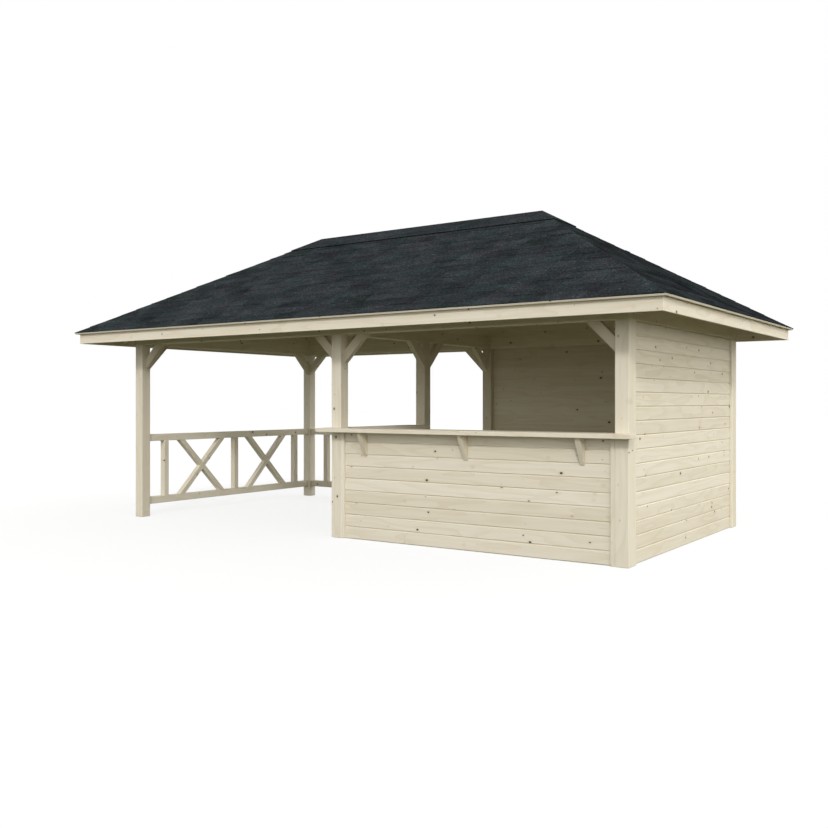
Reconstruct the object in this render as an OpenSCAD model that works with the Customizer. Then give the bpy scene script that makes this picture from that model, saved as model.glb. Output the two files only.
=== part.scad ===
// Open timber market stall: hipped roof on seven posts, a boarded corner bar
// with an L-shaped counter, and a seating bay with railings on two sides.
// Millimetres. X runs along the stall, Y from front to back, Z up; the origin
// is the centre of the footprint on the ground.

/* [Post grid] */
// Post axis to post axis along the stall, two bays
bay_x = 3000;
// Post axis to post axis across the stall, two bays
bay_y = 1500;
// Square section of a post
post = 120;
// Height of a post, up to the underside of the beams
post_h = 2030;

/* [Beams and braces] */
beam_h = 145;
// Second timber laid on the beams, which carries the rafters
plate_h = 141;
// From the corner of post and beam to where the brace's underside lands
brace_reach = 285;
brace_w = 90;
brace_t = 60;

/* [Roof] */
pitch = 30;
// Post face to drip edge
overhang = 485;
deck_t = 18;
cover_t = 6;
cap_t = 9;
// Horizontal reach of the ridge cap down each slope
cap_run = 265;
// Drip edge to the face of the fascia
strip_t = 43;
fascia_t = 20;
// Drip edge to the fascia's lower edge
fascia_h = 124;

/* [Roof frame] */
rafter_t = 45;
rafter_h = 100;
// Depth of the seat that the rafters are cut down over the plates
seat = 12;
rafter_gap = 700;
// Rafters each side of the middle one, on the long slopes and on the end slopes
long_n = 4;
end_n = 2;
ridge_h = 150;
// Height of a hip rafter, measured upright
hip_h = 125;

/* [Walls] */
board_t = 28;
// Outer face of the boards behind the outer face of the posts
recess = 24;
batten_w = 40;

/* [Counter] */
counter_z = 1095;
counter_t = 40;
// Front edge beyond the front faces of the posts
counter_front_out = 130;
counter_depth = 300;
// Left edge of the side counter beyond the face of the middle post
counter_side_out = 103;
// Right end beyond the face of the end post
counter_end_out = 65;
bracket_t = 45;
bracket_gap = 1146;
// Reach of a bracket from the wall, and its height on the wall
bracket_reach = 125;
bracket_h = 232;
// Upright edge of a bracket's tip, and width of its foot
bracket_nose = 6;
bracket_toe = 10;

/* [Railings] */
rail_t = 70;
rail_h = 82;
rail_top = 970;
rail_low = 140;
// Axis of the outer balusters from the post faces
baluster_in = 269;
cross_w = 60;

/* [Hidden] */
timber = [0.87, 0.82, 0.71];
board = [0.88, 0.83, 0.73];
trim = [0.90, 0.86, 0.77];
felt = [0.20, 0.21, 0.22];

// Outer and inner faces of the outer posts
ox = bay_x + post / 2;
oy = bay_y + post / 2;
ix = bay_x - post / 2;
iy = bay_y - post / 2;
hp = post / 2;
// Drip edge, and half the length of the ridge
hx = ox + overhang;
hy = oy + overhang;
ridge_half = hx - hy;
// Upright thickness of the sloping layers
deck_v = deck_t / cos(pitch);
cover_v = cover_t / cos(pitch);
cap_v = cap_t / cos(pitch);
rafter_v = rafter_h / cos(pitch);
plate_z = post_h + beam_h;
// Top of the deck at the drip edge, so that the rafters sit on the plates
eave_z = plate_z + plate_h - seat + rafter_v + deck_v - overhang * tan(pitch);
fascia_in = strip_t + fascia_t;
fascia_z = eave_z - fascia_h;
sky = eave_z + hx;
counter_low = counter_z - counter_t;
wall_x = ox - recess;
wall_y = oy - recess;
side_x = -hp + recess;

// Top of the deck at a distance d inside the drip edge, and the deck's underside
function deck_top(d) = eave_z + d * tan(pitch);
function deck_low(d) = deck_top(d) - deck_v;

module both_ends() {
  children();
  rotate([0, 0, 180]) children();
}

// A profile of (distance in from the drip edge, height), run along the front or
// the left eave and mitred at the hips
module front_run(profile) {
  intersection() {
    translate([0, -hy, 0]) rotate([90, 0, 90]) linear_extrude(2 * hx, center = true) polygon(profile);
    linear_extrude(sky) polygon([[-hx, -hy], [hx, -hy], [ridge_half, 0], [-ridge_half, 0]]);
  }
}

module left_run(profile) {
  intersection() {
    translate([-hx, 0, 0]) rotate([90, 0, 0]) linear_extrude(2 * hy, center = true) polygon(profile);
    linear_extrude(sky) polygon([[-hx, -hy], [-ridge_half, 0], [-hx, hy]]);
  }
}

// A sloping layer from d0 to d1 inside the drip edge, from low to high over the deck
function layer(d0, d1, low, high) = [
  [d0, deck_top(d0) + low], [d1, deck_top(d1) + low],
  [d1, deck_top(d1) + high], [d0, deck_top(d0) + high]
];
deck_profile = layer(strip_t, hy, -deck_v, 0);
cover_profile = layer(0, hy, 0, cover_v);
rafter_profile = layer(fascia_in, hy, -deck_v - rafter_v, -deck_v);
strip_profile = [
  [0, eave_z], [deck_t * sin(pitch), eave_z - deck_t * cos(pitch)],
  [strip_t, deck_low(strip_t)], [strip_t, deck_top(strip_t)]
];
fascia_profile = [
  [strip_t, fascia_z], [fascia_in, fascia_z], [fascia_in, deck_low(fascia_in)],
  [strip_t, deck_low(strip_t)]
];

// Everything below the four slopes, at a height over the tops of their decks
module under_roof(height) {
  edge = deck_top(0) + height;
  intersection() {
    rotate([90, 0, 90]) linear_extrude(2 * hx, center = true)
      polygon([[-hy, 0], [hy, 0], [hy, edge], [0, deck_top(hy) + height], [-hy, edge]]);
    rotate([90, 0, 0]) linear_extrude(2 * hy, center = true)
      polygon([[-hx, 0], [hx, 0], [hx, edge], [0, deck_top(hx) + height], [-hx, edge]]);
  }
}

module box(x0, x1, y0, y1, z0, z1) {
  translate([x0, y0, z0]) cube([x1 - x0, y1 - y0, z1 - z0]);
}

module post_at(x, y) {
  color(timber) box(x - hp, x + hp, y - hp, y + hp, 0, post_h);
}

module post_front_left() post_at(-bay_x, -bay_y);
module post_front_middle() post_at(0, -bay_y);
module post_front_right() post_at(bay_x, -bay_y);
module post_back_left() post_at(-bay_x, bay_y);
module post_back_middle() post_at(0, bay_y);
module post_back_right() post_at(bay_x, bay_y);
module post_centre() post_at(0, 0);

module beam_front() color(timber) box(-ox, ox, -oy, -iy, post_h, plate_z);
module beam_back() color(timber) box(-ox, ox, iy, oy, post_h, plate_z);
module beam_left() color(timber) box(-ox, -ix, -iy, iy, post_h, plate_z);
module beam_right() color(timber) box(ix, ox, -iy, iy, post_h, plate_z);
module beam_middle() color(timber) box(-hp, hp, -iy, iy, post_h, plate_z);

module long_plates() {
  color(timber) both_ends() box(-ix, ix, -oy, -iy, plate_z, plate_z + plate_h);
}

module end_plates() {
  color(timber) both_ends() box(-ox, -ix, -oy, oy, plate_z, plate_z + plate_h);
}

// One knee brace on the post at (x, y), leaning out in the direction turn, flush with the
// post's left face as seen along it (flush = 1) or with its right face (flush = -1)
module brace(x, y, turn, flush) {
  side = brace_w * sqrt(2);
  translate([x, y, 0]) rotate([0, 0, turn]) translate([hp, flush * (hp - brace_t / 2), post_h])
    rotate([90, 0, 0]) linear_extrude(brace_t, center = true)
      polygon([[0, -brace_reach], [brace_reach, 0], [brace_reach - side, 0], [0, side - brace_reach]]);
}

module braces_front() color(timber) {
  brace(-bay_x, -bay_y, 0, 1);
  brace(0, -bay_y, 180, -1);
  brace(0, -bay_y, 0, 1);
  brace(bay_x, -bay_y, 180, -1);
}

module braces_back() color(timber) {
  brace(-bay_x, bay_y, 0, -1);
  brace(0, bay_y, 180, 1);
}

module braces_left() color(timber) {
  brace(-bay_x, -bay_y, 90, -1);
  brace(-bay_x, bay_y, -90, 1);
}

module braces_middle() color(timber) {
  brace(0, -bay_y, 90, -1);
  brace(0, 0, -90, 1);
  brace(0, 0, 90, -1);
  brace(0, bay_y, -90, -1);
}

module ridge_beam() {
  half = rafter_t / 2;
  top = deck_low(hy);
  shoulder = deck_low(hy - half);
  color(timber) rotate([90, 0, 90]) linear_extrude(2 * ridge_half, center = true)
    polygon([[-half, top - ridge_h], [half, top - ridge_h], [half, shoulder], [0, top], [-half, shoulder]]);
}

// The upright slab along the front left hip, and its copies on the other three
module hip_slab() {
  s0 = fascia_in * sqrt(2) + rafter_t / 2;
  s1 = hy * sqrt(2);
  z0 = deck_low(s0 / sqrt(2)) - hip_h;
  z1 = deck_low(hy) - hip_h;
  translate([-hx, -hy, 0]) rotate([0, 0, 45]) rotate([90, 0, 0])
    linear_extrude(rafter_t, center = true) polygon([[s0, z0], [s1, z1], [s1, sky], [s0, sky]]);
}

module hip_slabs() {
  difference() {
    both_ends() {
      hip_slab();
      mirror([0, 1, 0]) hip_slab();
    }
    box(-hx, hx, -rafter_t / 2, rafter_t / 2, 0, sky);
  }
}

module hip_rafters() {
  color(timber) difference() {
    intersection() {
      hip_slabs();
      under_roof(-deck_v);
    }
    long_plates();
    end_plates();
  }
}

module long_rafters() {
  color(timber) both_ends() difference() {
    intersection() {
      front_run(rafter_profile);
      for (i = [-long_n:long_n])
        box(i * rafter_gap - rafter_t / 2, i * rafter_gap + rafter_t / 2, -hy, -rafter_t / 2, 0, sky);
    }
    long_plates();
    hip_slabs();
  }
}

module end_rafters() {
  color(timber) both_ends() difference() {
    intersection() {
      left_run(rafter_profile);
      for (i = [-end_n:end_n])
        box(-hx, -ridge_half, i * rafter_gap - rafter_t / 2, i * rafter_gap + rafter_t / 2, 0, sky);
    }
    end_plates();
    hip_slabs();
  }
}

module deck_front() color(board) front_run(deck_profile);
module deck_back() rotate([0, 0, 180]) deck_front();
module deck_left() color(board) left_run(deck_profile);
module deck_right() rotate([0, 0, 180]) deck_left();

module cover_front() color(felt) front_run(cover_profile);
module cover_back() rotate([0, 0, 180]) cover_front();
module cover_left() color(felt) left_run(cover_profile);
module cover_right() rotate([0, 0, 180]) cover_left();

module ridge_cap() {
  reach = ridge_half + cap_run;
  color(felt) difference() {
    intersection() {
      under_roof(cover_v + cap_v);
      box(-reach, reach, -cap_run, cap_run, 0, sky);
    }
    under_roof(cover_v);
  }
}

module long_fascias() color(trim) both_ends() front_run(fascia_profile);
module end_fascias() color(trim) both_ends() left_run(fascia_profile);

module eaves_strip() {
  color(trim) both_ends() {
    front_run(strip_profile);
    left_run(strip_profile);
  }
}

module wall_right() color(board) box(wall_x - board_t, wall_x, -iy, iy, 0, post_h);
module wall_back() color(board) box(hp, ix, wall_y - board_t, wall_y, 0, post_h);
module bar_front() color(board) box(hp, ix, -wall_y, -wall_y + board_t, 0, counter_low);
module bar_side() color(board) box(side_x, side_x + board_t, -iy, -hp, 0, counter_low);

// Upright battens over the ends of the boards, flush with the posts
module wall_battens() color(trim) {
  for (y = [-iy, iy - batten_w]) box(wall_x, ox, y, y + batten_w, 0, post_h);
  for (x = [hp, ix - batten_w]) box(x, x + batten_w, wall_y, oy, 0, post_h);
}

module bar_battens() color(trim) {
  for (x = [hp, ix - batten_w]) box(x, x + batten_w, -oy, -wall_y, 0, counter_low);
  for (y = [-iy, -hp - batten_w]) box(-hp, side_x, y, y + batten_w, 0, counter_low);
}

// The two counter tops meet in a mitre across the middle post, and the free end
// of the front one passes in front of the end post
counter_y = -oy - counter_front_out;
counter_x = -hp - counter_side_out;
counter_end = ox + counter_end_out;

module counter_front() {
  color(trim) translate([0, 0, counter_low]) linear_extrude(counter_t) difference() {
    polygon([
      [counter_x, counter_y], [counter_end, counter_y], [counter_end, -oy], [ix, -oy],
      [ix, counter_y + counter_depth], [counter_x + counter_depth, counter_y + counter_depth]
    ]);
    translate([-hp, -oy]) square(post);
  }
}

module counter_side() {
  color(trim) translate([0, 0, counter_low]) linear_extrude(counter_t) difference() {
    polygon([
      [counter_x, counter_y], [counter_x + counter_depth, counter_y + counter_depth],
      [counter_x + counter_depth, -hp], [counter_x, -hp]
    ]);
    translate([-hp, -oy]) square(post);
  }
}

// Three-cornered bracket under the counter, reaching out from the wall face at (x, y)
module bracket(x, y, turn) {
  translate([x, y, counter_low]) rotate([0, 0, turn]) rotate([90, 0, 0])
    linear_extrude(bracket_t, center = true)
      polygon([
        [0, 0], [0, -bracket_h], [bracket_toe, -bracket_h],
        [bracket_reach, -bracket_nose], [bracket_reach, 0]
      ]);
}

module counter_brackets() color(timber) {
  for (i = [-1:1]) bracket(bay_x / 2 + i * bracket_gap, -wall_y, -90);
  bracket(side_x, -bay_y / 2, 180);
}

// A railing panel of a given length along X, centred on the origin
module railing(length) {
  gap_low = rail_low + rail_h;
  gap_top = rail_top - rail_h;
  outer = length / 2 - baluster_in;
  for (z = [rail_low, gap_top]) box(-length / 2, length / 2, -rail_t / 2, rail_t / 2, z, z + rail_h);
  for (x = [-outer, 0, outer])
    box(x - rail_t / 2, x + rail_t / 2, -rail_t / 2, rail_t / 2, gap_low, gap_top);
  intersection() {
    for (x = [-outer / 2, outer / 2], lean = [-45, 45])
      translate([x, 0, (gap_low + gap_top) / 2]) rotate([0, lean, 0])
        cube([cross_w, rail_t, 2 * rail_top], center = true);
    box(-length / 2, length / 2, -rail_t / 2, rail_t / 2, gap_low, gap_top);
  }
}

module railing_left() color(timber) translate([-bay_x, 0, 0]) rotate([0, 0, 90]) railing(2 * iy);
module railing_back() color(timber) translate([-bay_x / 2, bay_y, 0]) railing(ix - hp);

post_front_left();
post_front_middle();
post_front_right();
post_back_left();
post_back_middle();
post_back_right();
post_centre();
beam_front();
beam_back();
beam_left();
beam_right();
beam_middle();
long_plates();
end_plates();
braces_front();
braces_back();
braces_left();
braces_middle();
ridge_beam();
hip_rafters();
long_rafters();
end_rafters();
deck_front();
deck_back();
deck_left();
deck_right();
cover_front();
cover_back();
cover_left();
cover_right();
ridge_cap();
long_fascias();
end_fascias();
eaves_strip();
wall_right();
wall_back();
bar_front();
bar_side();
wall_battens();
bar_battens();
counter_front();
counter_side();
counter_brackets();
railing_left();
railing_back();
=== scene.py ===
"""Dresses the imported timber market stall: eased timbers, boarded walls, shingled roof and a pale studio."""

import math
import random

import bmesh
import bpy
from bpy.props import FloatProperty, FloatVectorProperty, IntProperty, PointerProperty
from bpy.types import Operator, Panel, PropertyGroup
from mathutils import Matrix, Vector


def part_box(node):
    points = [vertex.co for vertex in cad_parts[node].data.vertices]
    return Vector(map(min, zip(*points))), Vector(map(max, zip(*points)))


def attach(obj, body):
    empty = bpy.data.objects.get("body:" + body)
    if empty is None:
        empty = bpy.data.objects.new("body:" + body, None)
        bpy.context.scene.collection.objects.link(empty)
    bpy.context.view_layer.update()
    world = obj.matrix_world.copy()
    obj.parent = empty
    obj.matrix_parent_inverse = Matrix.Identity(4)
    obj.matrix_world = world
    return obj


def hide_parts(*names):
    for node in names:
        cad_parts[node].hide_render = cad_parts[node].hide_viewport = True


bl_info = {
    "name": "Timber Market Stall",
    "version": (1, 0, 0),
    "blender": (4, 5, 0),
    "location": "3D View > Sidebar > Stall",
    "description": "Builds the visible timbers, boards and shingles of an open market stall round its frame",
    "category": "Object",
}

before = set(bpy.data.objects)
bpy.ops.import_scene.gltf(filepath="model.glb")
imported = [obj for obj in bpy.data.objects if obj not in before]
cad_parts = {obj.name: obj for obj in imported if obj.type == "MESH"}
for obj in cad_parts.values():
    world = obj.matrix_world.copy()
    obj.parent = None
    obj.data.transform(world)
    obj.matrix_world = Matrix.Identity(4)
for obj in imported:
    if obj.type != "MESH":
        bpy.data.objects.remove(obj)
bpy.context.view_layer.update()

BODY = "root"
HALF_TURN = Matrix.Rotation(math.pi, 4, "Z")
ROOT_HALF = math.sqrt(0.5)
UP = Vector((0, 0, 1))
WHITE = (1.0, 1.0, 1.0, 1.0)

# A height or length that is too small to be one more board
SLIVER = 0.001
# How far a board or a course runs past the hips before it is cut there
OVERRUN = 0.02

# Tones of the timber, from darkest to palest, and the brightness and saturation at those ends
TIMBER_TONES = (-5.0, 3.0)
TIMBER_VALUES = (0.71, 1.15)
TIMBER_SATURATIONS = (1.46, 0.74)
# How much brighter the trim is than the rest
TRIM_LIFT = 0.015
# Painted shade and painted light, as tones that make these nodes' timber darker or paler than the rest: the
# back wall, the middle and centre posts, the braces and the counter's brackets are darkened where shade falls
# on them, and the back left post is paled where more light reaches it
PAINTED_SHADE_AND_LIGHT_TONES = {
    "wall_back": -3.2, "post_back_left": 1.6, "post_back_middle": -2.8, "post_centre": -2.5,
    "braces_front": -2.3, "braces_left": -2.0, "braces_middle": -0.8, "counter_brackets": -1.6,
}

# Grain: the scale of the growth rings, and how strongly late wood colours rings, streaks and fibres
RING_SCALE = 17.0
RING_DEPTH = 0.30
STREAK_DEPTH = 0.26
FIBRE_DEPTH = 0.16
# Planed and dry: roughness from smooth to open grain, gloss, and the strength of the raised fibres
WOOD_ROUGHNESS = (0.78, 0.94)
WOOD_GLOSS = 0.05
WOOD_RELIEF = 0.16
# Knots: cells for them along the grain and across it, per metre; a knot's stretch along and across;
# its radius, from least to most; how ragged its rim is; how rare the large ones are; its halo's tint
KNOT_CELLS = (3.4, 9.0, 12.0)
KNOT_STRETCH = (0.72, 0.36, 1.0)
KNOT_RADII = (0.0025, 0.012)
KNOT_RAGGED = 0.006
KNOT_RARITY = 2.4
HALO_TINT = (0.86, 0.76, 0.62)

# Shingles: the dark, light and brightest granules as shares of their colour, the two casts of the
# granules, the tones from darkest to palest with the brightness at those ends, and what weather and
# blotches take from that brightness or add to it
GRANULE_SHARES = (0.62, 1.55, 3.4)
GREEN_CAST = (0.95, 1.04, 1.00, 1.0)
VIOLET_CAST = (1.05, 0.97, 1.03, 1.0)
SHINGLE_TONES = (-4.0, 1.0)
SHINGLE_VALUES = (0.20, 1.20)
WEATHER_SWING = (-0.16, 0.18)
BLOTCH_SWING = (-0.25, 0.24)
# Sizes of the granules' noises, finest first, and the dry surface that they make
GRIT_SCALE = 130.0
SPECK_SCALE = 48.0
CAST_SCALE = 3.7
WEATHER_SCALE = 2.3
FELT_ROUGHNESS = 0.95
FELT_RELIEF = 0.35
# Height of the ridge cap's butt edge, below which shade is painted into the cap's colour; how bright that
# painted shade is; where it fades
CAP_BUTT = 0.011
CAP_SHADE = 0.22
CAP_FADE = 0.002

# Depth of the relief that bump nodes show
RELIEF_DEPTH = 0.002

# Outline of the roof at the drip edge, and the deck's height there
ROOF_LOW, ROOF_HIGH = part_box("cover_front")
DRIP_X = ROOF_HIGH.x
DRIP_Y = -ROOF_LOW.y
DRIP_Z = ROOF_LOW.z


# Sizes and colours

class StallTimber(PropertyGroup):
    """Finish and edges of the timbers."""

    spruce: FloatVectorProperty(
        name="Spruce", description="Colour of the clean planed wood", subtype="COLOR", size=3,
        min=0.0, max=1.0, default=(0.745, 0.698, 0.594))
    latewood: FloatVectorProperty(
        name="Late wood", description="Colour of the darker lines of the grain", subtype="COLOR", size=3,
        min=0.0, max=1.0, default=(0.600, 0.505, 0.365))
    knot: FloatVectorProperty(
        name="Knot", description="Colour of the heart of a knot", subtype="COLOR", size=3,
        min=0.0, max=1.0, default=(0.080, 0.058, 0.041))
    edge: FloatProperty(
        name="Eased edge", description="Width of the chamfer on the edges of posts and beams",
        unit="LENGTH", min=0.0005, max=0.02, default=0.004)
    groove: FloatProperty(
        name="Board groove", description="Width of the chamfer along each wall board",
        unit="LENGTH", min=0.001, max=0.02, default=0.0080)
    board_count: IntProperty(
        name="Boards", description="Boards in the height of a full wall", min=4, max=40, default=17)


class StallRoof(PropertyGroup):
    """Shingles and roof boards."""

    shingle: FloatVectorProperty(
        name="Shingle", description="Colour of the mineral granules", subtype="COLOR", size=3,
        min=0.0, max=1.0, default=(0.0256, 0.0301, 0.0327))
    course: FloatProperty(
        name="Course", description="Height of shingle that shows in each course",
        unit="LENGTH", min=0.05, max=0.4, default=0.142)
    tab: FloatProperty(
        name="Tab", description="Width of one shingle tab", unit="LENGTH", min=0.1, max=1.0, default=0.333)
    slot: FloatProperty(
        name="Slot", description="Gap between two tabs", unit="LENGTH", min=0.001, max=0.02, default=0.006)
    butt: FloatProperty(
        name="Butt", description="Height of a tab's lower edge over the deck",
        unit="LENGTH", min=0.002, max=0.02, default=0.0090)
    pitch: FloatProperty(
        name="Pitch", description="Slope of the roof", subtype="ANGLE", default=math.radians(30.0))
    deck_cover: FloatProperty(
        name="Roof board", description="Width of one roof board",
        unit="LENGTH", min=0.05, max=0.3, default=0.1202)


class StallStage(PropertyGroup):
    """Camera, light and floor."""

    eye: FloatVectorProperty(
        name="Camera", description="Place of the camera", subtype="TRANSLATION", unit="LENGTH", size=3,
        default=(5.889, -8.766, 1.350))
    heading: FloatProperty(
        name="Heading", description="Turn of the camera to the left of the back", subtype="ANGLE",
        default=math.radians(34.46))
    lens: FloatProperty(
        name="Lens", description="Focal length in millimetres", min=10.0, max=200.0, default=40.365)
    drop: FloatProperty(name="Shift", description="Downward shift of the picture", default=-0.0140)
    sky: FloatProperty(
        name="Horizon", description="Strength of the sky at the horizon", min=0.0, max=4.0, default=1.70)
    sky_fall: FloatProperty(
        name="Fall", description="How much weaker the sky is overhead", min=0.0, max=4.0, default=1.15)
    sky_side: FloatProperty(
        name="Side light", description="How much stronger the sky is on the right",
        min=0.0, max=4.0, default=0.76)
    sun: FloatProperty(name="Sun", description="Strength of the key light", min=0.0, max=20.0, default=1.27)
    sun_size: FloatProperty(
        name="Sun size", description="Width of the key light as seen from the stall", subtype="ANGLE",
        default=math.radians(7.6))
    sun_way: FloatVectorProperty(
        name="Sun direction", description="The way that the key light travels", subtype="DIRECTION", size=3,
        default=(-0.540, 1.000, -0.665))
    floor: FloatVectorProperty(
        name="Floor", description="Colour of the light that the floor gives back", subtype="COLOR", size=3,
        min=0.0, max=1.0, default=(0.121, 0.122, 0.069))
    floor_glow: FloatProperty(
        name="Floor glow", description="Share of plain white in the floor that the camera sees",
        min=0.0, max=1.0, default=0.80)


# Shader helpers

def link(tree, source, target):
    """Joins an output socket to an input socket."""
    tree.links.new(source, target)


def opaque(colour):
    """A colour of three channels with its alpha."""
    return tuple(colour) + (1.0,)


def add_node(tree, kind, inputs=None, **settings):
    """A node of that kind, with its settings, and its sockets set or linked by name or number."""
    made = tree.nodes.new(kind)
    for key, value in settings.items():
        setattr(made, key, value)
    for key, value in (inputs or {}).items():
        if isinstance(value, bpy.types.NodeSocket):
            link(tree, value, made.inputs[key])
        else:
            made.inputs[key].default_value = value
    return made


def blank_material(name):
    """A new node material, its tree and its principled shader."""
    material = bpy.data.materials.new(name)
    material.use_nodes = True
    tree = material.node_tree
    return material, tree, tree.nodes["Principled BSDF"]


def stretched(tree, vector, scale, turn=(0.0, 0.0, 0.0)):
    """Coordinates scaled along their axes and turned."""
    inputs = {"Vector": vector, "Scale": scale, "Rotation": turn}
    return add_node(tree, "ShaderNodeMapping", inputs).outputs[0]


def cloud(tree, vector, scale, detail, rough=0.55):
    """A soft noise from 0 to 1."""
    return add_node(tree, "ShaderNodeTexNoise", {
        "Vector": vector, "Scale": scale, "Detail": detail, "Roughness": rough}).outputs["Fac"]


def ramp(tree, factor, low, high, start=0.0, end=1.0):
    """factor carried from low..high to start..end, held at both ends."""
    made = add_node(tree, "ShaderNodeMapRange", {
        "Value": factor, "From Min": low, "From Max": high, "To Min": start, "To Max": end})
    return made.outputs[0]


def sums(tree, kind, a, b):
    """Two numbers joined by one kind of sum."""
    return add_node(tree, "ShaderNodeMath", {0: a, 1: b}, operation=kind).outputs[0]


def vectors(tree, kind, a, b):
    """Two vectors joined by one kind of sum."""
    return add_node(tree, "ShaderNodeVectorMath", {0: a, 1: b}, operation=kind).outputs[0]


def blended(tree, factor, a, b, kind="MIX"):
    """Colour a with colour b laid over it by a factor. The node's colours are its sockets 6 and 7."""
    inputs = {0: factor, 6: a, 7: b}
    return add_node(tree, "ShaderNodeMix", inputs, data_type="RGBA", blend_type=kind).outputs[2]


def raise_surface(tree, shader, strength, height):
    """Gives a shader the relief of a height."""
    bump = add_node(tree, "ShaderNodeBump", {
        "Strength": strength, "Distance": RELIEF_DEPTH, "Height": height})
    link(tree, bump.outputs[0], shader.inputs["Normal"])


def mixed(tree, factor, a, b):
    """Shader a with shader b mixed in by a factor."""
    return add_node(tree, "ShaderNodeMixShader", {0: factor, 1: a.outputs[0], 2: b.outputs[0]})


def in_sight(tree):
    """1 for the rays of the camera and of mirrors and glass, which see a white studio; 0 for soft light."""
    path = add_node(tree, "ShaderNodeLightPath").outputs
    mirrored = sums(tree, "MAXIMUM", path["Is Glossy Ray"], path["Is Transmission Ray"])
    return sums(tree, "MAXIMUM", path["Is Camera Ray"], mirrored)


def spruce(name, lift=0.0, turn=None):
    """Planed spruce, brighter by lift. The grain runs along X of the grain attribute, or of Object
    coordinates turned by turn."""
    look = bpy.context.scene.stall_timber
    material, tree, shader = blank_material(name)
    if turn is None:
        grain = add_node(tree, "ShaderNodeAttribute", attribute_name="grain").outputs["Vector"]
    else:
        place = add_node(tree, "ShaderNodeTexCoord").outputs["Object"]
        grain = stretched(tree, place, (1.0, 1.0, 1.0), turn)
    tone = add_node(tree, "ShaderNodeAttribute", attribute_name="tone").outputs["Fac"]

    # Growth rings: bands across the timber, bent by a slow noise into long flames
    slow = cloud(tree, stretched(tree, grain, (0.55, 4.0, 4.0)), 1.0, 2.0)
    bent = add_node(tree, "ShaderNodeCombineXYZ", {
        "Y": sums(tree, "MULTIPLY", slow, 0.16), "Z": sums(tree, "MULTIPLY", slow, 0.10)}).outputs[0]
    moved = vectors(tree, "ADD", stretched(tree, grain, (0.03, 1.0, 0.7)), bent)
    rings = add_node(tree, "ShaderNodeTexWave", {
        "Vector": moved, "Scale": RING_SCALE, "Distortion": 1.6, "Detail": 2.0, "Detail Scale": 1.4},
        bands_direction="Y", wave_profile="SAW").outputs["Fac"]
    rings = ramp(tree, rings, 0.45, 1.0)

    # Fibres, fine and long, and streaks, wider and weaker
    fibre = cloud(tree, stretched(tree, grain, (5.0, 260.0, 260.0)), 1.0, 3.0, 0.6)
    streak = cloud(tree, stretched(tree, grain, (0.9, 34.0, 34.0)), 1.0, 4.0, 0.6)

    # Knots: each cell of a stretched grid has one, mostly too small to see; it has a heart and a halo
    spread = stretched(tree, grain, KNOT_CELLS)
    seeds = add_node(tree, "ShaderNodeTexVoronoi", {"Vector": spread, "Scale": 1.0, "Randomness": 0.85})
    apart = vectors(tree, "SUBTRACT", spread, seeds.outputs["Position"])
    true = vectors(tree, "MULTIPLY", apart, [a / b for a, b in zip(KNOT_STRETCH, KNOT_CELLS)])
    radius = add_node(tree, "ShaderNodeVectorMath", {0: true}, operation="LENGTH").outputs["Value"]
    ragged = sums(tree, "MULTIPLY", sums(tree, "SUBTRACT", streak, 0.5), KNOT_RAGGED)
    pick = add_node(tree, "ShaderNodeSeparateColor", {0: seeds.outputs["Color"]})
    size = ramp(tree, sums(tree, "POWER", pick.outputs[0], KNOT_RARITY), 0.0, 1.0, *KNOT_RADII)
    share = sums(tree, "DIVIDE", sums(tree, "ADD", radius, ragged), size)
    heart = ramp(tree, share, 0.75, 1.05, 1.0, 0.0)
    halo = ramp(tree, share, 0.9, 2.6, 0.30, 0.0)

    # Colour: pale wood, late wood in the rings, streaks and fibres, then the knots over them
    late = opaque(look.latewood)
    base = blended(tree, sums(tree, "MULTIPLY", rings, RING_DEPTH), opaque(look.spruce), late)
    base = blended(tree, ramp(tree, streak, 0.35, 0.75, 0.0, STREAK_DEPTH), base, late)
    base = blended(tree, ramp(tree, fibre, 0.45, 0.8, 0.0, FIBRE_DEPTH), base, late)
    base = blended(tree, halo, base, opaque(a * b for a, b in zip(look.latewood, HALO_TINT)))
    base = blended(tree, heart, base, opaque(look.knot))
    tinted = add_node(tree, "ShaderNodeHueSaturation", {
        "Color": base, "Value": ramp(tree, tone, *TIMBER_TONES, *[value + lift for value in TIMBER_VALUES]),
        "Saturation": ramp(tree, tone, *TIMBER_TONES, *TIMBER_SATURATIONS)})
    link(tree, tinted.outputs[0], shader.inputs["Base Color"])

    # A dry, open surface with raised fibres
    link(tree, ramp(tree, streak, 0.2, 0.8, *WOOD_ROUGHNESS), shader.inputs["Roughness"])
    shader.inputs["Specular IOR Level"].default_value = WOOD_GLOSS
    height = sums(tree, "ADD", sums(tree, "MULTIPLY", fibre, 0.6), sums(tree, "MULTIPLY", heart, 0.5))
    raise_surface(tree, shader, WOOD_RELIEF, height)
    return material


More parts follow.
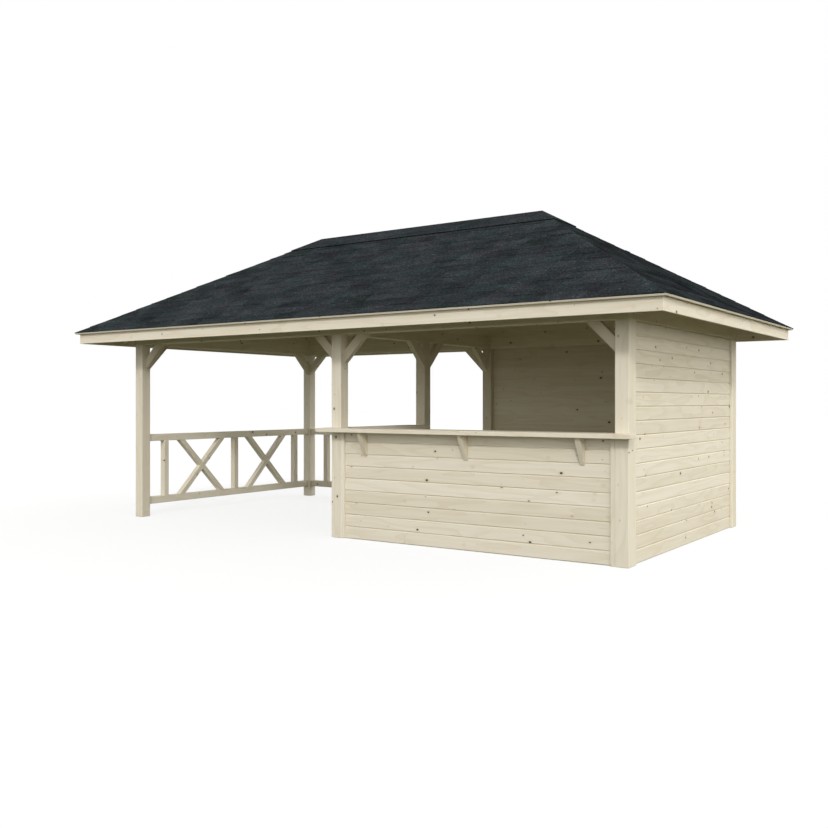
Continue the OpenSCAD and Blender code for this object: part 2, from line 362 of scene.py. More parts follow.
def granules(name, painted_shade_below=None):
    """Mineral granules on bitumen: dark, dry and speckled. Below the height that is given, shade is painted
    into their colour.
    """
    look = bpy.context.scene.stall_roof
    material, tree, shader = blank_material(name)
    place = add_node(tree, "ShaderNodeTexCoord").outputs["Object"]
    tone = add_node(tree, "ShaderNodeAttribute", attribute_name="tone").outputs["Fac"]
    speck = cloud(tree, place, SPECK_SCALE, 4.0, 0.8)
    grit = add_node(tree, "ShaderNodeTexVoronoi", {"Vector": place, "Scale": GRIT_SCALE})
    weather = cloud(tree, place, WEATHER_SCALE, 4.0, 0.6)
    blotch = cloud(tree, stretched(tree, place, (4.0, 9.0, 9.0)), 1.0, 4.0, 0.65)
    dark, light, bright = (opaque(channel * share for channel in look.shingle) for share in GRANULE_SHARES)

    # Colour: dark and light granules, a few bright ones, and two casts in patches
    colour = blended(tree, ramp(tree, speck, 0.36, 0.66), dark, light)
    pick = add_node(tree, "ShaderNodeSeparateColor", {0: grit.outputs["Color"]})
    colour = blended(tree, ramp(tree, pick.outputs[0], 0.95, 0.98, 0.0, 0.8), colour, bright)
    patches = ramp(tree, cloud(tree, place, CAST_SCALE, 2.0), 0.38, 0.62)
    colour = blended(tree, 1.0, colour, blended(tree, patches, GREEN_CAST, VIOLET_CAST), "MULTIPLY")

    # Brightness: each tab's own tone, with weather and blotches over it
    shade = ramp(tree, tone, *SHINGLE_TONES, *SHINGLE_VALUES)
    shade = sums(tree, "ADD", shade, ramp(tree, weather, 0.3, 0.7, *WEATHER_SWING))
    shade = sums(tree, "ADD", shade, ramp(tree, blotch, 0.32, 0.68, *BLOTCH_SWING))
    # Painted shade under the ridge cap's butt edge: the colour darkens below that height
    if painted_shade_below is not None:
        level = add_node(tree, "ShaderNodeSeparateXYZ", {0: place}).outputs["Z"]
        lit = ramp(tree, level, painted_shade_below - CAP_FADE, painted_shade_below, CAP_SHADE, 1.0)
        shade = sums(tree, "MULTIPLY", shade, lit)
    toned = add_node(tree, "ShaderNodeHueSaturation", {"Color": colour, "Value": shade})
    link(tree, toned.outputs[0], shader.inputs["Base Color"])
    shader.inputs["Roughness"].default_value = FELT_ROUGHNESS
    shader.inputs["Specular IOR Level"].default_value = 0.0
    raise_surface(tree, shader, FELT_RELIEF, grit.outputs["Distance"])
    return material


# Mesh helpers

def eased(part, edges, width):
    """Chamfers those edges of a part."""
    bmesh.ops.bevel(
        part, geom=edges, offset=width, offset_type="OFFSET", segments=1, profile=0.5,
        affect="EDGES", material=-1, clamp_overlap=True)


def edges_along(part, axis):
    """The edges of a part that run along an axis: 0 is X, 2 is Z."""
    return [e for e in part.edges if abs((e.verts[0].co - e.verts[1].co).normalized()[axis]) > 0.9]


def bar(length, width, height, edge=0.0, ends=True):
    """A squared timber along X, centred, with its edges eased if edge is given."""
    part = bmesh.new()
    bmesh.ops.create_cube(part, size=1.0)
    bmesh.ops.scale(part, vec=(length, width, height), verts=part.verts)
    if edge:
        eased(part, part.edges[:] if ends else edges_along(part, 0), edge)
    return part


def prism(outline, depth, edge, ends=True):
    """An outline in X and Y, extruded along Z and centred, with all its edges eased or only the long ones."""
    part = bmesh.new()
    face = part.faces.new([part.verts.new((x, y, -depth / 2)) for x, y in outline])
    grown = bmesh.ops.extrude_face_region(part, geom=[face])
    top = [v for v in grown["geom"] if isinstance(v, bmesh.types.BMVert)]
    bmesh.ops.translate(part, vec=(0, 0, depth), verts=top)
    bmesh.ops.recalc_face_normals(part, faces=part.faces)
    eased(part, part.edges[:] if ends else edges_along(part, 2), edge)
    return part


def cut(part, point, outward):
    """Cuts away what lies beyond a plane and closes the cut."""
    bmesh.ops.bisect_plane(
        part, geom=part.verts[:] + part.edges[:] + part.faces[:], dist=1e-6,
        plane_co=point, plane_no=outward, clear_outer=True)
    rim = [e for e in part.edges if e.is_boundary]
    bmesh.ops.holes_fill(part, edges=rim, sides=0)


def placed(centre, along, up):
    """The matrix that takes X to along and Z to up, at centre."""
    x = Vector(along).normalized()
    y = Vector(up).cross(x).normalized()
    z = x.cross(y)
    turn = Matrix((x, y, z)).transposed().to_4x4()
    return Matrix.Translation(Vector(centre)) @ turn


class Joinery:
    """Gathers timbers in one mesh, each with its own place in the grain and its own tone."""

    GRAIN_ROOM = 60.0

    # tone is the painted shade or painted light of all the node's timbers, where it has one; spread is how
    # far each timber's own tone differs at random
    def __init__(self, seed, tone=0.0, spread=1.0):
        self.chance = random.Random(seed)
        self.tone = tone
        self.spread = spread
        self.mesh = bmesh.new()
        self.mesh.verts.layers.float_vector.new("grain")
        self.mesh.verts.layers.float.new("tone")

    def put(self, part, place, grain_turn=None):
        """Adds a part at a place and frees it. grain_turn turns its grain away from its own X."""
        grain = part.verts.layers.float_vector.new("grain")
        tone = part.verts.layers.float.new("tone")
        shift = Vector([self.chance.uniform(0.0, self.GRAIN_ROOM) for _ in range(3)])
        shade = self.tone + self.spread * self.chance.uniform(-1.0, 1.0)
        for vert in part.verts:
            vert[grain] = (grain_turn @ vert.co if grain_turn else vert.co) + shift
            vert[tone] = shade
        part.transform(place)
        carrier = bpy.data.meshes.new("carrier")
        part.to_mesh(carrier)
        part.free()
        self.mesh.from_mesh(carrier)
        bpy.data.meshes.remove(carrier)

    def finish(self, name, material, slot, *nodes):
        """Makes the piece of what was gathered."""
        finished(self.mesh, name, material, slot, *nodes)


def shown(shape, name, material):
    """An object made of a mesh, in the scene."""
    data = bpy.data.meshes.new(name)
    shape.to_mesh(data)
    shape.free()
    data.materials.append(material)
    made = bpy.data.objects.new(name, data)
    bpy.context.scene.collection.objects.link(made)
    return made


def finished(shape, name, material, slot, *nodes):
    """Makes a piece, hands it to the frame and hides the nodes that it stands for."""
    piece = shown(shape, name, material)
    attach(piece, BODY)
    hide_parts(*nodes)


def shared_material(name, make, *values):
    """The material of that name, made the first time that it is asked for."""
    return bpy.data.materials.get(name) or make(name, *values)


def box_bar(low, high, axis, edge):
    """A timber that fills a box, with its grain along an axis, and its place."""
    size = high - low
    along = Vector([1.0 if i == axis else 0.0 for i in range(3)])
    place = placed((low + high) / 2, along, UP if axis != 2 else (1, 0, 0))
    length, width, height = (abs(side) for side in place.to_3x3().transposed() @ size)
    return bar(length, width, height, edge), place


def run_axis(low, high):
    """The level axis along which a box is longer: 0 is X, 1 is Y."""
    return 0 if high.x - low.x > high.y - low.y else 1


def panel_place(low, high):
    """The place of an upright panel that fills a box: X along it, Z up."""
    return placed((low + high) / 2, ((1, 0, 0), (0, 1, 0))[run_axis(low, high)], UP)


# Slopes of the roof

def slope_place(long_side):
    """A slope's own frame at the middle of its drip edge: X along it, Y up the slope, Z out of the deck."""
    pitch = bpy.context.scene.stall_roof.pitch
    c, s = math.cos(pitch), math.sin(pitch)
    if long_side:
        axes, origin = ((1, 0, 0), (0, c, s), (0, -s, c)), (0, -DRIP_Y, DRIP_Z)
    else:
        axes, origin = ((0, -1, 0), (c, 0, s), (-s, 0, c)), (-DRIP_X, 0, DRIP_Z)
    return Matrix.Translation(origin) @ Matrix(axes).transposed().to_4x4()


def hip_planes(long_side):
    """The two upright planes that bound a slope at its hips: a point and the way out."""
    if long_side:
        return [((-DRIP_X, -DRIP_Y, 0), (-1, 1, 0)), ((DRIP_X, -DRIP_Y, 0), (1, 1, 0))]
    return [((-DRIP_X, -DRIP_Y, 0), (1, -1, 0)), ((-DRIP_X, DRIP_Y, 0), (1, 1, 0))]


def ridge_plane(long_side):
    """The upright plane that bounds a slope at the ridge or at the ridge's end: a point and the way out."""
    if long_side:
        return (0, 0, 0), (0, 1, 0)
    return (DRIP_Y - DRIP_X, 0, 0), (1, 0, 0)


def slope_sides():
    """The four slopes: name, whether it is a long one, and the turn from its model to its place."""
    still = Matrix.Identity(4)
    return [
        ("front", True, still), ("back", True, HALF_TURN),
        ("left", False, still), ("right", False, HALF_TURN)]


def half_eave(long_side):
    """Half of the length of a slope's drip edge."""
    return DRIP_X if long_side else DRIP_Y


def clipped(part, long_side):
    """Cuts a part of a slope at its hips."""
    for point, outward in hip_planes(long_side):
        cut(part, point, outward)


# Operators

class StallOperator:
    """What every operator of the stall shares."""

    bl_options = {"REGISTER", "UNDO"}


class STALL_OT_posts(StallOperator, Operator):
    """Seven posts and the beams on them, with eased edges"""

    bl_idname = "stall.posts"
    bl_label = "Posts and beams"
    SEED = 150

    def execute(self, context):
        edge = context.scene.stall_timber.edge
        wood = shared_material("spruce_timber", spruce)
        for number, node in enumerate(sorted(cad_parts)):
            if not node.startswith(("post_", "beam_")):
                continue
            axis = 2 if node.startswith("post_") else run_axis(*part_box(node))
            # The node's tone is painted shade or painted light of the post
            work = Joinery(self.SEED + number, PAINTED_SHADE_AND_LIGHT_TONES.get(node, 0.0))
            work.put(*box_bar(*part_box(node), axis, edge))
            work.finish(node + "_timber", wood, "timber", node)
        return {"FINISHED"}


class STALL_OT_braces(StallOperator, Operator):
    """Knee braces between the posts and the beams"""

    bl_idname = "stall.braces"
    bl_label = "Knee braces"
    SEED = 200
    EDGE = 0.003
    WIDTH = 0.090
    # Post axis as a share of the outer posts' axes, the way that the brace leans out,
    # and the post's face that it is flush with: 1 is the left as seen along the brace, -1 the right
    SETS = {
        "braces_front": [
            ((-1, -1), (1, 0), 1), ((0, -1), (-1, 0), -1), ((0, -1), (1, 0), 1), ((1, -1), (-1, 0), -1)],
        "braces_back": [((-1, 1), (1, 0), -1), ((0, 1), (-1, 0), 1)],
        "braces_left": [((-1, -1), (0, 1), -1), ((-1, 1), (0, -1), 1)],
        "braces_middle": [
            ((0, -1), (0, 1), -1), ((0, 0), (0, -1), 1), ((0, 0), (0, 1), -1), ((0, 1), (0, -1), -1)],
    }

    def execute(self, context):
        wood = shared_material("spruce_timber", spruce)
        low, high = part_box("post_back_right")
        axis_x, axis_y, half = (low.x + high.x) / 2, (low.y + high.y) / 2, (high.x - low.x) / 2
        low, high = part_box("braces_left")
        reach, thick = high.z - low.z, high.x - low.x
        side = self.WIDTH / ROOT_HALF
        outline = [(0, -reach), (reach, 0), (reach - side, 0), (0, side - reach)]
        grain_turn = Matrix.Rotation(-math.pi / 4, 3, "Z")
        for number, (node, spots) in enumerate(self.SETS.items()):
            # The node's tone is painted shade of the braces
            work = Joinery(self.SEED + number, PAINTED_SHADE_AND_LIGHT_TONES.get(node, 0.0))
            for (px, py), (dx, dy), flush in spots:
                lean = Vector((dx, dy, 0))
                foot = Vector((px * axis_x, py * axis_y, high.z)) + lean * half
                foot += UP.cross(lean) * flush * (half - thick / 2)
                place = placed(foot, lean, lean.cross(UP))
                work.put(prism(outline, thick, self.EDGE), place, grain_turn)
            work.finish(node + "_timber", wood, "timber", node)
        return {"FINISHED"}


class STALL_OT_walls(StallOperator, Operator):
    """Boarded walls: horizontal boards with a groove at each joint"""

    bl_idname = "stall.walls"
    bl_label = "Boarded walls"
    SEED = 300
    # Spread of the boards' tones in a wall that has a painted shade, and in the others
    SPREADS = {True: 0.5, False: 1.0}
    # Way of the outer face in a board's own Y, and the inner face's groove
    OUTER = {"wall_right": -1, "wall_back": 1, "bar_front": -1, "bar_side": 1}
    FINE_GROOVE = 0.002

    def execute(self, context):
        look = context.scene.stall_timber
        wood = shared_material("spruce_boards", spruce)
        full_low, full_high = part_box("wall_right")
        cover = (full_high.z - full_low.z) / look.board_count
        for number, (node, outer) in enumerate(self.OUTER.items()):
            low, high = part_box(node)
            axis = run_axis(low, high)
            # The node's tone is painted shade of the wall, with a narrower spread of board tones there
            work = Joinery(self.SEED + number, PAINTED_SHADE_AND_LIGHT_TONES.get(node, 0.0), self.SPREADS[node in PAINTED_SHADE_AND_LIGHT_TONES])
            bottom = low.z
            while bottom < high.z - SLIVER:
                top = min(bottom + cover, high.z)
                part_low = Vector((low.x, low.y, bottom))
                part_high = Vector((high.x, high.y, top))
                size = part_high - part_low
                part = bar(size[axis], size[1 - axis], size.z)
                for side, groove in ((outer, look.groove), (-outer, self.FINE_GROOVE)):
                    eased(part, [e for e in edges_along(part, 0) if e.verts[0].co.y * side > 0], groove)
                work.put(part, panel_place(part_low, part_high))
                bottom = top
            work.finish(node + "_boards", wood, "board", node)
        return {"FINISHED"}


class STALL_OT_battens(StallOperator, Operator):
    """Upright battens over the ends of the wall boards"""

    bl_idname = "stall.battens"
    bl_label = "Corner battens"
    SEED = 400
    EDGE = 0.002
    WIDTH = 0.040
    WALLS = {"wall_battens": ("wall_right", "wall_back"), "bar_battens": ("bar_front", "bar_side")}
    # Axis of the way out of each wall, and its sign
    OUTWARD = {"wall_right": (0, 1), "wall_back": (1, 1), "bar_front": (1, -1), "bar_side": (0, -1)}

    def execute(self, context):
        wood = shared_material("spruce_trim", spruce, TRIM_LIFT)
        for number, (node, walls) in enumerate(self.WALLS.items()):
            work = Joinery(self.SEED + number)
            for wall in walls:
                low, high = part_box(wall)
                axis, sign = self.OUTWARD[wall]
                run = 1 - axis
                face = high[axis] if sign > 0 else low[axis]
                outer = face + sign * self.proud(node, axis, sign, face)
                for start in (low[run], high[run] - self.WIDTH):
                    a, b = Vector(low), Vector(high)
                    a[run], b[run] = start, start + self.WIDTH
                    a[axis], b[axis] = min(face, outer), max(face, outer)
                    work.put(*box_bar(a, b, 2, self.EDGE))
            work.finish(node + "_timber", wood, "trim", node)
        return {"FINISHED"}

    def proud(self, node, axis, sign, face):
        """How far the battens of a wall stand out from the boards' face."""
        low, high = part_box(node)
        return abs((high if sign > 0 else low)[axis] - face)


class STALL_OT_counter(StallOperator, Operator):
    """The L-shaped counter, mitred across the middle post, and its brackets"""

    bl_idname = "stall.counter"
    bl_label = "Counter"
    SEED = 500
    EDGE = 0.0035
    BRACKET_SEED = 510
    BRACKET_EDGE = 0.0025
    BRACKET_THICK = 0.045
    # Depth of a bracket's foot, height of its front end, and the lean of its grain
    BRACKET_FOOT = 0.010
    BRACKET_NOSE = 0.006
    BRACKET_GRAIN = math.radians(-63.0)

    def execute(self, context):
        wood = shared_material("spruce_trim", spruce, TRIM_LIFT)
        low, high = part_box("counter_front")
        depth, thick, level = high.y - low.y, high.z - low.z, (low.z + high.z) / 2
        middle_low, middle_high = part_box("post_front_middle")
        end_low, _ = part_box("post_front_right")
        centre_low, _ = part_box("post_centre")
        mitre = low.x - low.y
        left, right = low.x, high.x
        inner, outer = (left + depth, high.y), (left, low.y)
        mitre_front = (middle_low.y + mitre, middle_low.y)
        mitre_back = (middle_high.x, middle_high.x - mitre)
        front = [
            outer, (right, low.y), (right, end_low.y), (end_low.x, end_low.y), (end_low.x, high.y), inner,
            mitre_back, (middle_high.x, middle_low.y), mitre_front]
        side = [
            outer, mitre_front, (middle_low.x, middle_low.y), (middle_low.x, middle_high.y),
            (middle_high.x, middle_high.y), mitre_back, inner, (left + depth, centre_low.y),
            (left, centre_low.y)]
        place = Matrix.Translation((0, 0, level))
        across = Matrix.Rotation(math.pi / 2, 3, "Z")
        boards = (("counter_front", front, None), ("counter_side", side, across))
        for number, (node, outline, turn) in enumerate(boards):
            work = Joinery(self.SEED + number)
            work.put(prism(outline, thick, self.EDGE), place, turn)
            work.finish(node + "_board", wood, "trim", node)
        self.brackets(shared_material("spruce_timber", spruce))
        return {"FINISHED"}

    def brackets(self, wood):
        """Three-cornered brackets under the counter, at the places of the CAD's solids."""
        low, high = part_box("counter_brackets")
        bar_low, bar_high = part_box("bar_front")
        side_low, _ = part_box("bar_side")
        post_low, post_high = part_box("post_front_middle")
        reach, tall, thick = bar_low.y - low.y, high.z - low.z, self.BRACKET_THICK
        outline = [
            (0, -tall), (self.BRACKET_FOOT, -tall), (reach, -self.BRACKET_NOSE), (reach, 0), (0, 0)]
        middle = (bar_low.x + bar_high.x) / 2
        gap = high.x - thick / 2 - middle
        spots = [((middle + step * gap, bar_low.y, high.z), (0, -1, 0)) for step in (-1, 0, 1)]
        # The side counter's bracket stands halfway from the post's axis to the centre
        spots.append(((side_low.x, (post_low.y + post_high.y) / 4, high.z), (-1, 0, 0)))
        # The brackets' tone is painted shade
        work = Joinery(self.BRACKET_SEED, PAINTED_SHADE_AND_LIGHT_TONES["counter_brackets"])
        grain_turn = Matrix.Rotation(self.BRACKET_GRAIN, 3, "Z")
        for foot, lean in spots:
            place = placed(foot, lean, Vector(lean).cross(UP))
            work.put(prism(outline, thick, self.BRACKET_EDGE), place, grain_turn)
        work.finish("counter_brackets_timber", wood, "timber", "counter_brackets")


class STALL_OT_railings(StallOperator, Operator):
    """Railings: two rails, three balusters and crossed diagonals halved into each other"""

    bl_idname = "stall.railings"
    bl_label = "Railings"
    SEED = 600
    EDGE = 0.003
    RAIL = 0.082
    BALUSTER_IN = 0.269
    CROSS = 0.060
    # How far the second diagonal's faces lie behind those of the first
    SLIM = 0.0012

    def execute(self, context):
        wood = shared_material("spruce_timber", spruce)
        for number, node in enumerate(("railing_left", "railing_back")):
            low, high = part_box(node)
            axis = run_axis(low, high)
            size = high - low
            work = Joinery(self.SEED + number)
            self.panel(work, panel_place(low, high), size[axis], size[1 - axis], high.z - low.z)
            work.finish(node + "_timber", wood, "timber", node)
        return {"FINISHED"}

    def panel(self, work, place, length, thick, tall):
        """One panel in its own frame: X along it, Z up, centred."""
        gap = tall - 2 * self.RAIL
        outer = length / 2 - self.BALUSTER_IN
        upright = Matrix.Rotation(-math.pi / 2, 4, "Y")
        for z in (-1, 1):
            level = Matrix.Translation((0, 0, z * (tall - self.RAIL) / 2))
            work.put(bar(length, thick, self.RAIL, self.EDGE), place @ level)
        for x in (-outer, 0, outer):
            work.put(bar(gap, thick, thick, self.EDGE), place @ Matrix.Translation((x, 0, 0)) @ upright)
        for x in (-outer / 2, outer / 2):
            for lean, slim in ((math.pi / 4, 0.0), (-math.pi / 4, self.SLIM)):
                part = bar(2 * gap, thick - 2 * slim, self.CROSS, self.EDGE, ends=False)
                turn = Matrix.Rotation(lean, 4, "Y")
                back = turn.to_3x3().inverted()
                for z in (-1, 1):
                    cut(part, back @ Vector((0, 0, z * gap / 2)), back @ Vector((0, 0, z)))
                work.put(part, place @ Matrix.Translation((x, 0, 0)) @ turn)


class STALL_OT_eaves(StallOperator, Operator):
    """Fascias and the eaves strip over them, mitred at the corners"""

    bl_idname = "stall.eaves"
    bl_label = "Fascias and eaves strip"
    STRIP_EDGE = 0.0015
    FASCIA_EDGE = 0.002
    LONG_SIDES = ("front", "back")
    END_SIDES = ("left", "right")
    # Nodes, with the seed, the piece's name and the sides that it runs along
    RUNS = {
        "eaves_strip": (700, "eaves_strip_boards", LONG_SIDES + END_SIDES),
        "long_fascias": (710, "long_fascia_boards", LONG_SIDES),
        "end_fascias": (720, "end_fascia_boards", END_SIDES),
    }

    def execute(self, context):
        wood = shared_material("spruce_trim", spruce, TRIM_LIFT)
        strip_low, strip_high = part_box("eaves_strip")
        long_low, long_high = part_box("long_fascias")
        rise = math.tan(context.scene.stall_roof.pitch)
        strip_in = long_low.y - strip_low.y
        deck_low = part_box("deck_front")[0].z
        fascia_in = strip_in + (long_high.z - deck_low) / rise
        strip = [
            (0, DRIP_Z), ((DRIP_Z - strip_low.z) * rise, strip_low.z), (strip_in, deck_low),
            (strip_in, strip_high.z)]
        fascia = [
            (strip_in, long_low.z), (fascia_in, long_low.z), (fascia_in, long_high.z), (strip_in, deck_low)]
        for node, (seed, name, sides) in self.RUNS.items():
            outline, edge = (strip, self.STRIP_EDGE) if node == "eaves_strip" else (fascia, self.FASCIA_EDGE)
            work = Joinery(seed)
            self.run_along(work, outline, edge, sides)
            work.finish(name, wood, "trim", node)
        return {"FINISHED"}

    def run_along(self, work, outline, edge, sides):
        """Runs a profile of (distance in, height) along the eaves of those sides, mitred at the hips."""
        for side, long_side, turn in slope_sides():
            if side not in sides:
                continue
            part = prism(outline, 2 * half_eave(long_side), edge, ends=False)
            if long_side:
                inner = Matrix(((0, 0, 1, 0), (1, 0, 0, -DRIP_Y), (0, 1, 0, 0), (0, 0, 0, 1)))
            else:
                inner = Matrix(((1, 0, 0, -DRIP_X), (0, 0, -1, 0), (0, 1, 0, 0), (0, 0, 0, 1)))
            part.transform(inner)
            clipped(part, long_side)
            work.put(part, turn, Matrix.Rotation(0.0 if long_side else -math.pi / 2, 3, "Z"))


class STALL_OT_deck(StallOperator, Operator):
    """Roof boards laid along the eaves, grooved on the underside"""

    bl_idname = "stall.deck"
    bl_label = "Roof boards"
    SEED = 800
    THICK = 0.018
    GROOVE = 0.004

    def execute(self, context):
        look = context.scene.stall_roof
        wood = shared_material("spruce_boards", spruce)
        level = math.cos(look.pitch)
        top = DRIP_Y / level
        for number, (side, long_side, turn) in enumerate(slope_sides()):
            node = "deck_" + side
            work = Joinery(self.SEED + number)
            slope = slope_place(long_side)
            start = (DRIP_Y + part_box("deck_front")[0].y) / level
            while start < top - SLIVER:
                end = min(start + look.deck_cover, top)
                half = half_eave(long_side) - start * level + OVERRUN
                part = bar(2 * half, end - start, self.THICK, self.GROOVE, ends=False)
                part.transform(slope @ Matrix.Translation((0, (start + end) / 2, -self.THICK / 2)))
                clipped(part, long_side)
                if end == top:
                    cut(part, *ridge_plane(long_side))
                work.put(part, turn, slope.to_3x3().inverted())
                start = end
            work.finish(node + "_boards", wood, "board", node)
        return {"FINISHED"}


class STALL_OT_shingles(StallOperator, Operator):
    """Bitumen shingles in courses over an underlay, each tab a thin wedge that laps the course below"""

    bl_idname = "stall.shingles"
    bl_label = "Shingles"
    SEED = 900
    LAP = 0.030
    HEAD = 0.003
    UNDERLAY = 0.0015
    UNDERLAY_TONE = -1.0
    # Tab widths as shares of the usual one, a butt's least height over the head,
    # and the most that a tab is cut short at its butt
    WIDTHS = (0.70, 1.30)
    LIP = 0.0005
    SHORT = 0.006
    # Middle of the tones of the tabs on each slope; the right slope's lower middle is painted shade, not
    # darker shingles
    SLOPE_TONES_WITH_PAINTED_SHADE = {"front": 0.0, "back": 0.0, "left": 0.0, "right": -1.5}

    def execute(self, context):
        look = context.scene.stall_roof
        felt = shared_material("shingle_granules", granules)
        for number, (side, long_side, turn) in enumerate(slope_sides()):
            # The right slope's middle tone carries painted shade
            shape = self.slope(look, random.Random(self.SEED + number), long_side, self.SLOPE_TONES_WITH_PAINTED_SHADE[side])
            shape.transform(turn)
            finished(shape, "shingles_" + side, felt, "felt", "cover_" + side)
        return {"FINISHED"}

    def slope(self, look, chance, long_side, middle):
        """The courses of one slope and the underlay, cut at the hips and the ridge."""
        level = math.cos(look.pitch)
        length = DRIP_Y / level
        place = slope_place(long_side)
        shape = bmesh.new()
        tone = shape.verts.layers.float.new("tone")
        for row in range(math.ceil(length / look.course)):
            low = row * look.course
            high = min(low + look.course + self.LAP, length)
            half = half_eave(long_side) - low * level + OVERRUN
            x = -half - chance.uniform(0.0, look.tab)
            while x < half:
                width = look.tab * chance.uniform(*self.WIDTHS)
                butt = self.HEAD + self.LIP + (look.butt - self.HEAD) * chance.random() ** 2
                short = chance.uniform(0.0, self.SHORT) if row else 0.0
                shade = middle + chance.uniform(-1.0, 1.0)
                across, up = (x, x + width - look.slot), (low + short, high)
                self.tab(shape, tone, place, across, up, (0.0, butt, self.HEAD), shade)
                x += width
        half = half_eave(long_side) + OVERRUN
        heights = (0.0, self.UNDERLAY, self.UNDERLAY)
        self.tab(shape, tone, place, (-half, half), (0.0, length), heights, middle + self.UNDERLAY_TONE)
        cut(shape, *ridge_plane(long_side))
        clipped(shape, long_side)
        return shape

    def tab(self, shape, tone, place, across, up, heights, shade):
        """A wedge of shingle: its span across and up the slope; heights of its underside, butt and head."""
        base, butt, head = heights
        for vert in bmesh.ops.create_cube(shape, size=1.0)["verts"]:
            x = across[0] if vert.co.x < 0 else across[1]
            y = up[0] if vert.co.y < 0 else up[1]
            lift = butt if vert.co.y < 0 else head
            z = lift if vert.co.z > 0 else base
            vert.co = place @ Vector((x, y, z))
            vert[tone] = shade


class STALL_OT_roof_frame(StallOperator, Operator):
    """Finishes of the plates, rafters and ridge, and of the cap over the ridge"""

    bl_idname = "stall.roof_frame"
    bl_label = "Roof frame and ridge cap"

    def execute(self, context):
        along_x = shared_material("spruce_along_x", spruce, 0.0, (0.0, 0.0, 0.0))
        along_y = shared_material("spruce_along_y", spruce, 0.0, (0.0, 0.0, math.radians(-90.0)))
        cap = shared_material("cap_granules", granules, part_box("ridge_cap")[0].z + CAP_BUTT)
        dress = {
            "long_plates": along_x, "end_plates": along_y, "ridge_beam": along_x, "long_rafters": along_y,
            "end_rafters": along_x, "hip_rafters": along_y, "ridge_cap": cap,
        }
        for node, material in dress.items():
            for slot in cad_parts[node].material_slots:
                slot.material = material
        return {"FINISHED"}


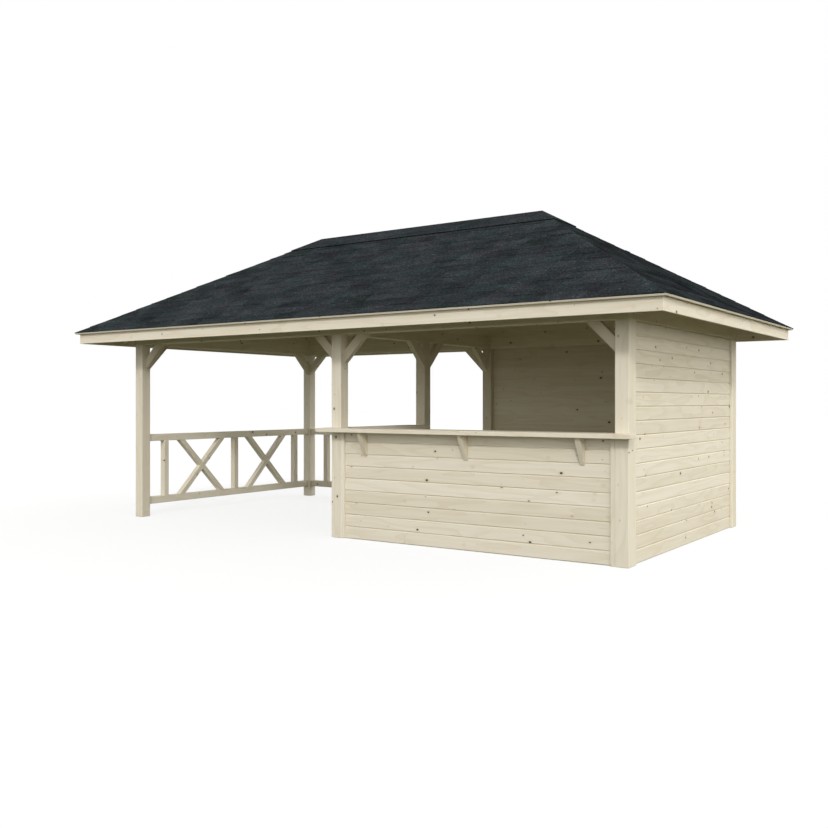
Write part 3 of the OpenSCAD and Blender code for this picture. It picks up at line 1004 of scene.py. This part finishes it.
class STALL_OT_stage(StallOperator, Operator):
    """Pale floor, soft light and the camera"""

    bl_idname = "stall.stage"
    bl_label = "Studio"
    FLOOR_HALF = 80.0
    FLOOR_DROP = 0.0005
    SKY_LEAST = 0.1
    SKY_WARM = (1.0, 0.985, 0.93, 1.0)
    SUN_COLOUR = (1.0, 0.985, 0.96)

    def execute(self, context):
        look = context.scene.stall_stage
        self.floor(look)
        self.light(context, look)
        self.camera(context, look)
        context.scene.view_settings.view_transform = "Standard"
        return {"FINISHED"}

    def floor(self, look):
        """White to the camera, with the stall's shadow; a dull, even ground to soft light."""
        material, tree, shader = blank_material("studio_floor")
        tree.nodes.remove(shader)
        ground = add_node(tree, "ShaderNodeEmission", {"Color": opaque(look.floor), "Strength": 1.0})
        paper = add_node(tree, "ShaderNodeBsdfDiffuse", {"Color": WHITE})
        glow = add_node(tree, "ShaderNodeEmission", {"Color": WHITE, "Strength": 1.0})
        seen = mixed(tree, look.floor_glow, paper, glow)
        both = mixed(tree, in_sight(tree), ground, seen)
        link(tree, both.outputs[0], tree.nodes["Material Output"].inputs["Surface"])
        shape = bmesh.new()
        bmesh.ops.create_grid(shape, x_segments=1, y_segments=1, size=self.FLOOR_HALF)
        bmesh.ops.translate(shape, vec=(0, 0, -self.FLOOR_DROP), verts=shape.verts)
        floor = shown(shape, "studio_floor", material)

    def light(self, context, look):
        """A sky that is bright low down and on the right, and a soft sun from the front right."""
        world = bpy.data.worlds.new("studio_sky")
        world.use_nodes = True
        tree = world.node_tree
        way = add_node(tree, "ShaderNodeTexCoord").outputs["Generated"]
        part = add_node(tree, "ShaderNodeSeparateXYZ", {0: way})
        upward = ramp(tree, part.outputs["Z"], 0.0, 1.0, look.sky, look.sky - look.sky_fall)
        across = ramp(tree, part.outputs["X"], -1.0, 1.0, -look.sky_side, look.sky_side)
        strength = sums(tree, "MAXIMUM", sums(tree, "ADD", upward, across), self.SKY_LEAST)
        tint = blended(tree, ramp(tree, part.outputs["X"], -0.2, 1.0), WHITE, self.SKY_WARM)
        sky = tree.nodes["Background"]
        link(tree, tint, sky.inputs["Color"])
        link(tree, strength, sky.inputs["Strength"])
        white = add_node(tree, "ShaderNodeBackground", {"Color": WHITE, "Strength": 1.0})
        both = mixed(tree, in_sight(tree), sky, white)
        link(tree, both.outputs[0], tree.nodes["World Output"].inputs["Surface"])
        context.scene.world = world
        lamp = bpy.data.lights.new("key_sun", "SUN")
        lamp.energy = look.sun
        lamp.angle = look.sun_size
        lamp.color = self.SUN_COLOUR
        key = bpy.data.objects.new("key_sun", lamp)
        key.rotation_euler = Vector(look.sun_way).to_track_quat("-Z", "Y").to_euler()
        context.scene.collection.objects.link(key)

    def camera(self, context, look):
        """A level camera at the photograph's viewing angle, with its picture shifted."""
        data = bpy.data.cameras.new("stall_camera")
        data.sensor_width = 36.0
        data.lens = look.lens
        data.shift_y = look.drop
        data.clip_end = 400.0
        eye = bpy.data.objects.new("stall_camera", data)
        eye.location = look.eye
        eye.rotation_euler = (math.pi / 2, 0.0, look.heading)
        context.scene.collection.objects.link(eye)
        context.scene.camera = eye


OPERATORS = (
    STALL_OT_stage, STALL_OT_posts, STALL_OT_braces, STALL_OT_walls, STALL_OT_battens, STALL_OT_counter,
    STALL_OT_railings, STALL_OT_eaves, STALL_OT_deck, STALL_OT_shingles, STALL_OT_roof_frame,
)


class VIEW3D_PT_stall(Panel):
    """Sizes, colours and the pieces of the stall"""

    bl_idname = "VIEW3D_PT_stall"
    bl_label = "Market stall"
    bl_space_type = "VIEW_3D"
    bl_region_type = "UI"
    bl_category = "Stall"

    def draw(self, context):
        """Lists every value and every operator."""
        for group in ("stall_timber", "stall_roof", "stall_stage"):
            values = getattr(context.scene, group)
            column = self.layout.column(align=True)
            for key in values.__annotations__:
                column.prop(values, key)
        for operator in OPERATORS:
            self.layout.operator(operator.bl_idname)


GROUPS = {"stall_timber": StallTimber, "stall_roof": StallRoof, "stall_stage": StallStage}


def register():
    """Adds the values, the operators and the panel to Blender."""
    for group in GROUPS.values():
        bpy.utils.register_class(group)
    for name, group in GROUPS.items():
        setattr(bpy.types.Scene, name, PointerProperty(type=group))
    for operator in OPERATORS:
        bpy.utils.register_class(operator)
    bpy.utils.register_class(VIEW3D_PT_stall)


def unregister():
    """Takes them away again."""
    bpy.utils.unregister_class(VIEW3D_PT_stall)
    for operator in reversed(OPERATORS):
        bpy.utils.unregister_class(operator)
    for name, group in GROUPS.items():
        delattr(bpy.types.Scene, name)
        bpy.utils.unregister_class(group)


def main():
    """Builds every piece and the stage."""
    register()
    for operator in OPERATORS:
        family, call = operator.bl_idname.split(".")
        getattr(getattr(bpy.ops, family), call)()


if __name__ == "__main__":
    main()
